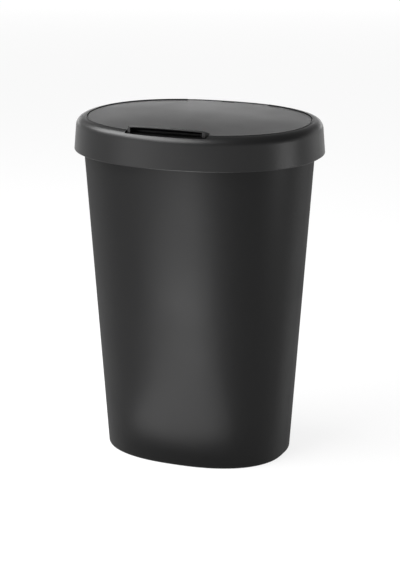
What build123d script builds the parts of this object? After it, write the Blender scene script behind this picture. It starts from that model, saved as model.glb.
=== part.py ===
from build123d import *
import os
from math import copysign, cos, hypot, pi, radians, sin, tan

os.makedirs("parts", exist_ok=True)

# A free-standing kitchen bin of moulded plastic: a tapered oval bucket, a loose lid ring
# that stands on its rim, and a flap that opens backwards on a hinge pin.
# All sizes are millimetres. The bin stands on Z = 0, its front looks towards -Y,
# and the vertical axis runs through the middle of the oval.

# Oval outlines: 2 is an ellipse, and a larger number is squarer
base_squareness = 2.38
lid_squareness = 2.18
oval_points = 24

# Bucket
base_width = 300.0
base_depth = 226.0
mouth_width = 371.5
mouth_depth = 305.5
bucket_height = 520.0
bucket_wall = 2.2
floor_wall = 2.8
base_edge_radius = 3.0
floor_edge_radius = 8.0
foot_width = 9.0
foot_height = 3.0

# Rim of the bucket: a flange and a lip that turns down
rim_wall = 2.0
rim_width = 3.2
rim_drop = 10.0

# Lid ring
ring_width = 400.0
ring_depth = 323.4
ring_bottom = 495.0
lid_top = 546.5
skirt_draft = 4.9
shoulder_radius = 14.0
lid_wall = 2.4
skirt_edge_radius = 1.0
opening_width = 358.0
opening_depth = 283.6
collar_wall = 1.8
collar_rise = 0.8
seat_depth = 7.0
seat_width = 8.0
throat_depth = 12.0

# Ribs under the shoulder that stand on the bucket's rim and keep the ring in place
rib_count = 12
rib_wall = 1.8
rib_tongue = 8.0
rib_tongue_width = 5.0

# Flap
flap_wall = 2.4
flap_crown = 3.0
dome_steps = 8
flap_edge = 3.1
flange_inset = 3.5
flange_wall = 2.0
flap_edge_chamfer = 1.4

# Stiffening ribs under the flap: one oval rib and a pair of bars that run to the hinge
stiffener_inset = 42.0
stiffener_wall = 1.8
stiffener_height = 3.2
bar_offset = 40.0

# Grip: a hood over a finger pocket at the flap's front edge
grip_width = 122.0
grip_flare = 2.5
grip_rise = 10.5
grip_back = 22.0
grip_overhang = 6.0
grip_roof = 2.6
grip_cheek = 3.0
grip_edge_radius = 1.3
pocket_depth = 18.0
finger_drop = 3.1

# Hinge
hinge_span = 140.0
hinge_back = 137.0
hinge_land = 4.0
barrel_radius = 3.0
pin_radius = 1.25
pin_bearing = 5.4
hinge_wall = 2.4
lug_width = 18.8
lug_drop = 0.8
snap_width = 2.1
open_angle = 100.0

# Clearances
flap_gap = 1.5
flap_rest = 0.3
grip_gap = 0.6
finger_gap = 2.0
barrel_gap = 0.6
hinge_side_gap = 0.8
pin_clearance = 0.05
pin_end_gap = 0.3
stop_gap = 0.15
rib_gap = 0.8
spare = 5.0

# Levels that several pieces share
hinge_height = lid_top - barrel_radius
seat_top = lid_top - seat_depth
seat_bottom = seat_top - lid_wall
pocket_floor = lid_top - finger_drop
shelf_bottom = pocket_floor - flap_wall
grip_top = lid_top + grip_rise


def oval(width, depth, squareness, height):
    """A flat oval face at the given height."""
    points = []
    for step in range(oval_points):
        angle = 2 * pi * step / oval_points
        across = copysign(abs(cos(angle)) ** (2 / squareness), cos(angle))
        along = copysign(abs(sin(angle)) ** (2 / squareness), sin(angle))
        points.append(Vector(width / 2 * across, depth / 2 * along, height))
    return Face(Wire([Edge.make_spline(points, periodic=True)]))


def column(width, depth, bottom, top, squareness=lid_squareness):
    """A straight oval column between two heights."""
    return Solid.extrude(oval(width, depth, squareness, bottom), Vector(0, 0, top - bottom))


def tube(width, depth, wall, bottom, top):
    """A straight oval tube, its wall measured inwards from the given outline."""
    outer = column(width, depth, bottom, top)
    return outer - column(width - 2 * wall, depth - 2 * wall, bottom, top)


def block(left, right, front, back, bottom, top):
    """A box between six planes."""
    size = Box(right - left, back - front, top - bottom)
    return Pos((left + right) / 2, (front + back) / 2, (bottom + top) / 2) * size


def rod(radius, left, right):
    """A round bar on the hinge axis."""
    bar = Rot(0, 90, 0) * Cylinder(radius, right - left)
    return Pos((left + right) / 2, hinge_back, hinge_height) * bar


def side_prism(points, left, right):
    """A solid with the given outline of (y, z) points, seen from the side."""
    outline = Wire.make_polygon([Vector(left, y, z) for y, z in points])
    return Solid.extrude(Face(outline), Vector(right - left, 0, 0))


def front_prism(points, front, back):
    """A solid with the given outline of (x, z) points, seen from the front."""
    outline = Wire.make_polygon([Vector(x, front, z) for x, z in points])
    return Solid.extrude(Face(outline), Vector(0, back - front, 0))


def both_sides(make, near, far):
    """The same feature right and left of the middle, between two distances from it."""
    return make(near, far) + make(-far, -near)


# Bucket


def bucket_section(height, inset=0.0):
    """The bucket's outline at a height: it widens and grows rounder towards the mouth."""
    share = height / bucket_height
    width = base_width + (mouth_width - base_width) * share
    depth = base_depth + (mouth_depth - base_depth) * share
    squareness = base_squareness + (lid_squareness - base_squareness) * share
    return oval(width - 2 * inset, depth - 2 * inset, squareness, height)


def bucket_form(bottom, top, inset=0.0):
    """The tapered form of the bucket between two heights."""
    ends = [bucket_section(bottom, inset), bucket_section(top, inset)]
    return Solid.make_loft([end.outer_wire() for end in ends], True)


def lowest_edge(solid):
    return solid.edges().sort_by(Axis.Z)[0]


def highest_edge(solid):
    return solid.edges().sort_by(Axis.Z)[-1]


def skirt_inset(height):
    """How far the ring's skirt has leaned in at a height."""
    return (height - ring_bottom) * tan(radians(skirt_draft))


def make_bin_body():
    floor_top = foot_height + floor_wall
    outside = bucket_form(0, bucket_height)
    outside = fillet(lowest_edge(outside), base_edge_radius)
    inside = bucket_form(floor_top, bucket_height, bucket_wall)
    inside = fillet(lowest_edge(inside), floor_edge_radius)
    recess_width = base_width - 2 * foot_width
    recess_depth = base_depth - 2 * foot_width
    recess = column(recess_width, recess_depth, 0, foot_height, base_squareness)
    rim_x = mouth_width + 2 * rim_width
    rim_y = mouth_depth + 2 * rim_width
    flange = column(rim_x, rim_y, bucket_height - rim_wall, bucket_height)
    lip = tube(rim_x, rim_y, rim_wall, bucket_height - rim_drop, bucket_height)
    return outside + flange + lip - inside - recess


# Lid ring


def ring_form(inset=0.0):
    """The ring's outer form without its opening: a drafted skirt under a round shoulder."""
    ends = []
    for height in (ring_bottom, lid_top - inset):
        shrink = 2 * (skirt_inset(height) + inset)
        ends.append(oval(ring_width - shrink, ring_depth - shrink, lid_squareness, height))
    solid = Solid.make_loft([end.outer_wire() for end in ends], True)
    return fillet(highest_edge(solid), shoulder_radius - inset)


def throat_size(inset=0.0):
    """Width and depth of the throat below the flap's seat, or of a line inside its wall."""
    shrink = 2 * (seat_width - collar_wall + inset)
    return opening_width - shrink, opening_depth - shrink


def ring_core():
    """The collar round the opening and the throat below it, both still filled."""
    collar_x = opening_width + 2 * collar_wall
    collar_y = opening_depth + 2 * collar_wall
    collar = column(collar_x, collar_y, seat_bottom, lid_top + collar_rise)
    throat = column(*throat_size(), seat_bottom - throat_depth, seat_bottom)
    return collar + throat


def ring_ribs():
    """Ribs from the throat to the skirt: they stand on the rim and reach inside the mouth."""
    low = bucket_height - rib_tongue
    high = lid_top - lid_wall / 2
    plates = []
    for number in range(rib_count // 2):
        plate = block(-ring_width, ring_width, -rib_wall / 2, rib_wall / 2, low, high)
        plates.append(Rot(0, 0, 360 * (number + 0.5) / rib_count) * plate)
    star = plates[0].fuse(*plates[1:])
    mouth_x = mouth_width - 2 * (bucket_wall + rib_gap)
    mouth_y = mouth_depth - 2 * (bucket_wall + rib_gap)
    over_rim = block(-ring_width, ring_width, -ring_width, ring_width, bucket_height, high)
    standing = ring_form(lid_wall / 2) & over_rim
    tongue = column(mouth_x, mouth_y, low, bucket_height + spare)
    throat = column(*throat_size(collar_wall / 2), low, lid_top)
    inside = column(
        mouth_x - 2 * rib_tongue_width,
        mouth_y - 2 * rib_tongue_width,
        low,
        seat_bottom - throat_depth,
    )
    return (((standing + tongue) - [throat, inside]) & star).solids()


def stop_edge():
    """Distance behind the axis of the edge that the fully open flap leans on."""
    angle = radians(open_angle)
    return barrel_radius * (1 - cos(angle)) / sin(angle) + stop_gap


def barrel_room(near, far):
    """Space for a hinge barrel: round below, and open to the front and the top."""
    top = lid_top + spare
    low = hinge_height - barrel_radius - barrel_gap
    ahead = block(near, far, hinge_back / 2, hinge_back, low, top)
    behind = block(near, far, hinge_back, hinge_back + stop_edge(), hinge_height, top)
    return rod(barrel_radius + barrel_gap, near, far) + ahead + behind


def pin_socket(near, far):
    """Bore for the pin with a narrower slot above it, where the pin snaps in."""
    half = snap_width / 2
    slot = block(near, far, hinge_back - half, hinge_back + half, hinge_height, lid_top + spare)
    return rod(pin_radius + pin_clearance, near, far) + slot


def make_lid_ring():
    outside = ring_form()
    outside = fillet(lowest_edge(outside), skirt_edge_radius)
    shell = outside - ring_form(lid_wall)

    # Hinge housing: a straight block across the back that the barrels sink into
    half_span = hinge_span / 2 + hinge_side_gap
    half_lug = lug_width / 2
    housing_end = half_span + pin_bearing + hinge_wall / 2
    front = hinge_back - barrel_radius - barrel_gap
    back = hinge_back + stop_edge() + hinge_wall
    housing = block(-housing_end, housing_end, front, back, seat_bottom, lid_top) & outside

    # Shelf under the finger relief, where the shoulder is cut down level for the grip
    relief_half = grip_width / 2 + grip_flare + finger_gap
    shelf_half = relief_half + lid_wall
    front_edge = -ring_depth / 2
    shelf = block(-shelf_half, shelf_half, front_edge, 0, shelf_bottom, lid_top) & outside

    ring = shell + ring_core()
    ring = ring.fuse(*ring_ribs(), housing, shelf)

    # The opening, except across the hinge, and the narrower mouth below the flap's seat
    over = lid_top + spare
    opening = column(opening_width, opening_depth, seat_top, over)
    opening -= block(-half_span, half_span, front, opening_depth, seat_top, over)
    mouth_x = opening_width - 2 * seat_width
    mouth_y = opening_depth - 2 * seat_width
    mouth = column(mouth_x, mouth_y, seat_bottom - throat_depth, seat_top)
    bare_top = block(-half_span, half_span, front, ring_depth / 2, lid_top, over)
    lug_top = block(-half_lug, half_lug, front, back - hinge_wall, lid_top - lug_drop, over)
    relief = block(-relief_half, relief_half, front_edge, 0, pocket_floor, over)
    ring = ring - [opening, mouth, bare_top, lug_top, relief]
    ring = ring - [both_sides(barrel_room, half_lug, half_span), pin_socket(-half_lug, half_lug)]
    return ring - both_sides(pin_socket, half_span, half_span + pin_bearing)


# Flap


def dome(drop=0.0):
    """All below a shallow dome, level with the lid's top at the flap's edge and hinge land."""
    side = opening_width / 2 - flap_gap
    front = opening_depth / 2 - flap_gap
    back = hinge_back - hinge_land
    half_depth = (front + back) / 2
    middle = back - half_depth
    shares = [step / dome_steps - 0.5 for step in range(dome_steps + 1)]
    grid = []
    for x in [ring_width * share for share in shares]:
        row = []
        for y in [ring_depth * share for share in shares]:
            rise = flap_crown * (1 - (x / side) ** 2 - ((y - middle) / half_depth) ** 2)
            row.append(Vector(x, y, lid_top + rise - drop))
        grid.append(row)
    surface = Face.make_surface_from_array_of_points(grid, tol=0.001)
    return Solid.extrude(surface, Vector(0, 0, -ring_depth / 4))


def roof_height(y):
    """Height of the grip's roof, a straight ramp that rises to the front."""
    share = (grip_root - y) / (grip_root - grip_front)
    return lid_top + grip_rise * share


grip_front = -(opening_depth / 2 + grip_overhang)
grip_root = -(opening_depth / 2 - grip_back)


def make_grip():
    """The hood over the finger pocket, with the pocket still filled."""
    half = grip_width / 2
    flare = half + grip_flare
    overhang_bottom = pocket_floor + grip_gap
    side = side_prism(
        [
            (grip_root, shelf_bottom),
            (grip_root, roof_height(grip_root)),
            (grip_front, roof_height(grip_front)),
            (grip_front, shelf_bottom),
        ],
        -flare,
        flare,
    )
    face = front_prism(
        [(-flare, shelf_bottom), (-half, grip_top), (half, grip_top), (flare, shelf_bottom)],
        grip_front,
        grip_root,
    )
    flap_x = opening_width - 2 * flap_gap
    flap_y = opening_depth - 2 * flap_gap
    reach = 2 * grip_overhang
    outline = column(opening_width + reach, opening_depth + reach, overhang_bottom, grip_top)
    outline += column(flap_x, flap_y, shelf_bottom, overhang_bottom)
    hood = side & face & outline
    crest = hood.edges().filter_by_position(Axis.Y, grip_front - 1, grip_front + grip_back)
    crest = crest.filter_by_position(Axis.Z, grip_top - grip_roof, grip_top + 1)
    return fillet(crest, grip_edge_radius)


def make_pocket():
    """The finger space under the hood, open to the front."""
    inner = grip_width / 2 - grip_cheek
    pocket_back = -(opening_depth / 2 - pocket_depth)
    ahead = grip_front - spare
    return side_prism(
        [
            (pocket_back, pocket_floor),
            (pocket_back, roof_height(pocket_back) - grip_roof),
            (ahead, roof_height(ahead) - grip_roof),
            (ahead, pocket_floor),
        ],
        -inner,
        inner,
    )


def hinge_barrel(near, far):
    return rod(barrel_radius, near, far)


def make_lid_flap():
    flap_x = opening_width - 2 * flap_gap
    flap_y = opening_depth - 2 * flap_gap
    half_span = hinge_span / 2
    rim_bottom = seat_top + flap_rest
    low = lid_top - flap_edge
    high = lid_top + flap_crown

    # Domed plate with a flange below that rests on the ring's seat. The plate's edge
    # is chamfered below, so that it swings clear of the collar.
    plate = column(flap_x, flap_y, low, high)
    plate = chamfer(lowest_edge(plate), flap_edge_chamfer)
    flange_x = flap_x - 2 * flange_inset
    flange_y = flap_y - 2 * flange_inset
    flange = column(flange_x, flange_y, rim_bottom, lid_top - flap_wall / 2)
    inner_x = flange_x - 2 * flange_wall
    inner_y = flange_y - 2 * flange_wall
    hollow = dome(flap_wall) & column(inner_x, inner_y, rim_bottom - spare, high)
    flap = (plate & dome()) + flange - hollow

    # Straight back edge across the hinge, where the flange is left out
    clear = hinge_back - barrel_radius - barrel_gap
    strip_front = clear - hinge_wall
    notch = block(-flap_x, flap_x, strip_front, flap_y, rim_bottom - spare, low)
    behind = block(-half_span, half_span, hinge_back, flap_y, rim_bottom - spare, high)
    flap = flap - [notch, behind]
    flap += block(-half_span, half_span, strip_front, hinge_back, low, high) & dome()

    # Stiffening ribs under the dome
    rib_bottom = lid_top - stiffener_height
    rib_x = flap_x - 2 * stiffener_inset
    rib_y = flap_y - 2 * stiffener_inset
    inside_x = rib_x - 2 * stiffener_wall
    inside_y = rib_y - 2 * stiffener_wall
    ribs = dome(flap_wall / 2) & column(rib_x, rib_y, rib_bottom, high)
    ribs -= column(inside_x, inside_y, rib_bottom - spare, high)
    bars = []
    bar_front = rib_y / 2 - 2 * stiffener_wall
    bar_top = lid_top - flap_wall / 2
    for side in (-bar_offset, bar_offset):
        left = side - stiffener_wall / 2
        right = side + stiffener_wall / 2
        bars.append(block(left, right, bar_front, strip_front + hinge_wall, rib_bottom, bar_top))

    # Two hinge barrels, with room between them for the ring's lug, whose front corner
    # the flap swings round
    half_lug = lug_width / 2 + hinge_side_gap
    barrels = both_sides(hinge_barrel, half_lug, half_span)
    lug_corner = hypot(barrel_radius + barrel_gap, barrel_radius - lug_drop)
    lug_front = hinge_back - lug_corner - barrel_gap
    lug_room = block(-half_lug, half_lug, lug_front, flap_y, rim_bottom, high)
    bore = rod(pin_radius + pin_clearance, -half_span, half_span)

    flap = flap.fuse(ribs, *bars, *barrels.solids(), make_grip())
    return flap - [lug_room, bore, make_pocket()]


# Hinge pin


def make_hinge_pin():
    half = hinge_span / 2 + hinge_side_gap + pin_bearing - pin_end_gap
    return rod(pin_radius, -half, half)


pieces = {
    "bin_body": make_bin_body,
    "lid_ring": make_lid_ring,
    "lid_flap": make_lid_flap,
    "hinge_pin": make_hinge_pin,
}

for name, make in pieces.items():
    export_step(make(), f"parts/{name}.step")
    print(name, "done")
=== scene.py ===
from math import cos, pi, radians, sin

import bpy
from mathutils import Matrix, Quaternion, Vector


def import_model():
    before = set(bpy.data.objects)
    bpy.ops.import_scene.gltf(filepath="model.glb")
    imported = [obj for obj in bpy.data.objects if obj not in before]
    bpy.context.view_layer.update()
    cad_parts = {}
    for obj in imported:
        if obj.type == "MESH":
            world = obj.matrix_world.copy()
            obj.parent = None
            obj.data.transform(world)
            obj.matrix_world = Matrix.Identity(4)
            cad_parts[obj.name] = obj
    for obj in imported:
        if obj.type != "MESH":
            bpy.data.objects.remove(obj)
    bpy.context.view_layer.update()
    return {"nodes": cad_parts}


# Looks of the oval kitchen bin. Everything is in metres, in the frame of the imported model:
# Z is up, the front with the grip looks towards -Y, and the hinge is at the back.

# Camera, from the outlines of the ring, the bucket and the base in the photograph
view_azimuth = 20.64
view_elevation = 16.57
view_distance = 2.76881
view_target = 0.2732
view_lens = 107.97
view_sensor = 36.0
picture_width = 400
picture_height = 570
target_column = 199.15
target_row = 283.15

# Plastic: colours, the scales of its noises, and the depths and shares of its bumps
black = (0.0035, 0.0035, 0.0036, 1.0)
black_worn = (0.008, 0.008, 0.0082, 1.0)
cloud_scale = 9.0
flow_scale = 2.4
noise_low = 0.3
noise_high = 0.7
gloss_change = 0.03
wear_start = 0.52
wear_full = 0.62
slant_start = 0.45
slant_full = 0.9
flow_depth = 0.004
flow_share = 0.06
grain_depth = 0.00012
grain_share = 0.35

# Finish of each moulding: size of the grain, roughness, specular level, and the roughness
# that is added along the surface
bucket_finish = (0.0006, 0.43, 0.14, 0.2)
lid_finish = (0.0005, 0.38, 0.28, 0.0)

# Drawn steel: its lines are long along X
steel = (0.55, 0.55, 0.56, 1.0)
steel_dark = (0.38, 0.38, 0.39, 1.0)
line_scale = (20.0, 4000.0, 4000.0)
steel_roughness = (0.22, 0.4)
line_depth = 0.00003
line_share = 0.3

# Room and floor. The backdrop is white up to one height and fades to the ceiling's level
# at another, both as the sine of the elevation.
white = (1.0, 1.0, 1.0, 1.0)
room_light = 0.7
backdrop_top = 0.14
ceiling_start = 0.36
ceiling = 0.25
floor_size = 60.0
floor_colour = (0.86, 0.86, 0.86, 1.0)
floor_glow = 0.8

# Panels on the floor: name, azimuth, distance, width, depth and brightness
panel_height = 0.02
floor_panels = (
    ("panel_near", -4, 0.34, 0.30, 0.36, 4.8),
    ("panel_far", -7, 0.93, 0.46, 0.80, 10.0),
)

# Lamps: name, azimuth, elevation, distance, width, height and brightness
standing_lamps = (
    ("front_left", -36, 8, 1.6, 0.8, 0.9, 2.0),
    ("key", -56, 55, 1.5, 1.9, 0.75, 12.5),
    ("right", 88, 0, 1.7, 0.6, 0.5, 5.5),
    ("rear", 200, 4.5, 6.3, 7.6, 0.95, 2.2),
)


def towards(azimuth, elevation):
    a, e = radians(azimuth), radians(elevation)
    return Vector((sin(a) * cos(e), -cos(a) * cos(e), sin(e)))


# Node graphs


class Graph:
    """A short way to write a node tree: each call makes one node and returns its output."""

    def __init__(self, owner):
        owner.use_nodes = True
        self.tree = owner.node_tree
        self.tree.nodes.clear()

    def node(self, kind, settings=None, **inputs):
        """A node of any kind, with its inputs linked or set. This one returns the node."""
        made = self.tree.nodes.new(kind)
        for name, value in (settings or {}).items():
            setattr(made, name, value)
        for name, value in inputs.items():
            self.put(made.inputs[name.replace("_", " ")], value)
        return made

    def put(self, socket, value):
        if isinstance(value, bpy.types.NodeSocket):
            self.tree.links.new(value, socket)
        else:
            socket.default_value = value

    def noise(self, where, scale, detail=2.0, roughness=0.5):
        made = self.node("ShaderNodeTexNoise", Vector=where, Scale=scale, Detail=detail)
        made.inputs["Roughness"].default_value = roughness
        return made.outputs["Fac"]

    def stretch(self, value, low, high, out_low, out_high):
        made = self.node("ShaderNodeMapRange", Value=value)
        made.inputs["From Min"].default_value = low
        made.inputs["From Max"].default_value = high
        made.inputs["To Min"].default_value = out_low
        made.inputs["To Max"].default_value = out_high
        return made.outputs["Result"]

    def reckon(self, operation, first, second):
        made = self.node("ShaderNodeMath", {"operation": operation})
        self.put(made.inputs[0], first)
        self.put(made.inputs[1], second)
        return made.outputs[0]

    def blend(self, share, first, second):
        made = self.node("ShaderNodeMix", {"data_type": "RGBA"})
        self.put(made.inputs[0], share)
        self.put(made.inputs[6], first)
        self.put(made.inputs[7], second)
        return made.outputs[2]

    def mix(self, share, first, second):
        made = self.node("ShaderNodeMixShader")
        self.put(made.inputs[0], share)
        self.put(made.inputs[1], first.outputs[0])
        self.put(made.inputs[2], second.outputs[0])
        return made.outputs[0]

    def bump(self, height, distance, strength, normal=None):
        made = self.node("ShaderNodeBump", Height=height, Distance=distance, Strength=strength)
        if normal is not None:
            self.put(made.inputs["Normal"], normal)
        return made.outputs["Normal"]

    def surface(self, colour, gloss, normal, level, amount):
        """The material's shader, with one of its plain values set on its own socket."""
        made = self.node("ShaderNodeBsdfPrincipled", Base_Color=colour, Roughness=gloss)
        self.put(made.inputs["Normal"], normal)
        made.inputs[level].default_value = amount
        self.node("ShaderNodeOutputMaterial", Surface=made.outputs["BSDF"])


def moulded_plastic(name, grain_size, roughness, specular, veil):
    """Black polypropylene: fine eroded grain, cloudy gloss and slightly paler worn edges."""
    material = bpy.data.materials.new(name)
    graph = Graph(material)
    where = graph.node("ShaderNodeTexCoord").outputs["Object"]
    grain = graph.noise(where, 1 / grain_size, detail=3.0, roughness=0.6)
    cloud = graph.noise(where, cloud_scale, detail=3.0)
    flow = graph.noise(where, flow_scale, detail=1.0)

    # Edges that hands and bags rub
    corner = graph.node("ShaderNodeNewGeometry").outputs["Pointiness"]
    wear = graph.stretch(corner, wear_start, wear_full, 0.0, 1.0)
    colour = graph.blend(wear, black, black_worn)

    # The surface is less glossy seen along it than head on, by the veil
    slant = graph.node("ShaderNodeLayerWeight", Blend=0.5).outputs["Facing"]
    added = graph.stretch(slant, slant_start, slant_full, 0.0, veil)
    least, most = roughness - gloss_change, roughness + gloss_change
    gloss = graph.reckon("ADD", graph.stretch(cloud, noise_low, noise_high, least, most), added)

    normal = graph.bump(flow, flow_depth, flow_share)
    normal = graph.bump(grain, grain_depth, grain_share, normal)
    graph.surface(colour, gloss, normal, "Specular IOR Level", specular)
    return material


def drawn_steel(name):
    """Steel wire: bright, with fine lines along its length."""
    material = bpy.data.materials.new(name)
    graph = Graph(material)
    where = graph.node("ShaderNodeTexCoord").outputs["Object"]
    along = graph.node("ShaderNodeMapping", Vector=where, Scale=line_scale)
    lines = graph.noise(along.outputs["Vector"], 1.0, detail=2.0)
    colour = graph.blend(lines, steel, steel_dark)
    gloss = graph.stretch(lines, noise_low, noise_high, *steel_roughness)
    normal = graph.bump(lines, line_depth, line_share)
    graph.surface(colour, gloss, normal, "Metallic", 1.0)
    return material


# Studio


def make_camera():
    data = bpy.data.cameras.new("camera")
    camera = bpy.data.objects.new("camera", data)
    bpy.context.scene.collection.objects.link(camera)
    back = towards(view_azimuth, view_elevation)
    camera.location = Vector((0, 0, view_target)) + back * view_distance
    camera.rotation_mode = "QUATERNION"
    camera.rotation_quaternion = (-back).to_track_quat("-Z", "Y")
    data.sensor_width = view_sensor
    data.lens = view_lens
    longest = max(picture_width, picture_height)
    data.shift_x = (picture_width / 2 - target_column) / longest
    data.shift_y = (target_row - picture_height / 2) / longest
    bpy.context.scene.camera = camera


def seen_rays(graph):
    """One for the rays that show the background, straight, in a reflection or through glass."""
    paths = graph.node("ShaderNodeLightPath").outputs
    shown = paths["Is Camera Ray"]
    for name in ("Is Glossy Ray", "Is Transmission Ray"):
        shown = graph.reckon("MAXIMUM", shown, paths[name])
    return shown


def make_world():
    """A white backdrop all round under a dimmer ceiling. The bin is lit by an even room."""
    world = bpy.data.worlds.new("studio")
    bpy.context.scene.world = world
    graph = Graph(world)
    where = graph.node("ShaderNodeTexCoord").outputs["Generated"]
    height = graph.node("ShaderNodeSeparateXYZ", Vector=where).outputs["Z"]
    shown = graph.stretch(height, backdrop_top, ceiling_start, 1.0, ceiling)
    room = graph.node("ShaderNodeBackground", Color=white, Strength=room_light)
    backdrop = graph.node("ShaderNodeBackground", Color=white, Strength=shown)
    mixed = graph.mix(seen_rays(graph), room, backdrop)
    graph.node("ShaderNodeOutputWorld", Surface=mixed)


def make_floor():
    """A matte white floor that shows part of its white by itself and keeps the bin's shadow."""
    mesh = bpy.data.meshes.new("studio_floor")
    half = floor_size / 2
    corners = [(-half, -half, 0), (half, -half, 0), (half, half, 0), (-half, half, 0)]
    mesh.from_pydata(corners, [], [(0, 1, 2, 3)])
    floor = bpy.data.objects.new("studio_floor", mesh)
    bpy.context.scene.collection.objects.link(floor)
    material = bpy.data.materials.new("studio_floor")
    graph = Graph(material)
    matte = graph.node("ShaderNodeBsdfDiffuse", Color=floor_colour)
    glow = graph.node("ShaderNodeEmission", Color=white, Strength=1.0)
    share = graph.stretch(seen_rays(graph), 0.0, 1.0, 0.0, floor_glow)
    graph.node("ShaderNodeOutputMaterial", Surface=graph.mix(share, matte, glow))
    mesh.materials.append(material)


def add_lamp(name, width, height, brightness):
    """A soft rectangular lamp, as bright to look at as so many times a white surface."""
    data = bpy.data.lights.new(name, "AREA")
    data.shape = "RECTANGLE"
    data.size = width
    data.size_y = height
    data.energy = brightness * width * height * pi
    lamp = bpy.data.objects.new(name, data)
    bpy.context.scene.collection.objects.link(lamp)
    lamp.rotation_mode = "QUATERNION"
    lamp.visible_camera = False
    return lamp


def standing_lamp(name, azimuth, elevation, distance, width, height, brightness):
    """A lamp that looks at the bin."""
    lamp = add_lamp(name, width, height, brightness)
    back = towards(azimuth, elevation)
    lamp.location = Vector((0, 0, view_target)) + back * distance
    lamp.rotation_quaternion = (-back).to_track_quat("-Z", "Y")


def floor_panel(name, azimuth, distance, width, depth, brightness):
    """A panel on the floor that looks up: it makes the soft band of light down the front."""
    lamp = add_lamp(name, width, depth, brightness)
    lamp.location = towards(azimuth, 0) * distance + Vector((0, 0, panel_height))
    turn = Quaternion((0, 0, 1), radians(azimuth))
    lamp.rotation_quaternion = turn @ Quaternion((1, 0, 0), pi)


def main():
    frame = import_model()
    bpy.context.scene.view_settings.view_transform = "Standard"
    make_camera()
    make_world()
    make_floor()
    for panel in floor_panels:
        floor_panel(*panel)
    for lamp in standing_lamps:
        standing_lamp(*lamp)

    lid = moulded_plastic("lid_plastic", *lid_finish)
    finishes = {
        "bin_body": moulded_plastic("bucket_plastic", *bucket_finish),
        "lid_ring": lid,
        "lid_flap": lid,
        "hinge_pin": drawn_steel("pin_steel"),
    }
    for node, material in finishes.items():
        frame["nodes"][node].data.materials[0] = material


main()
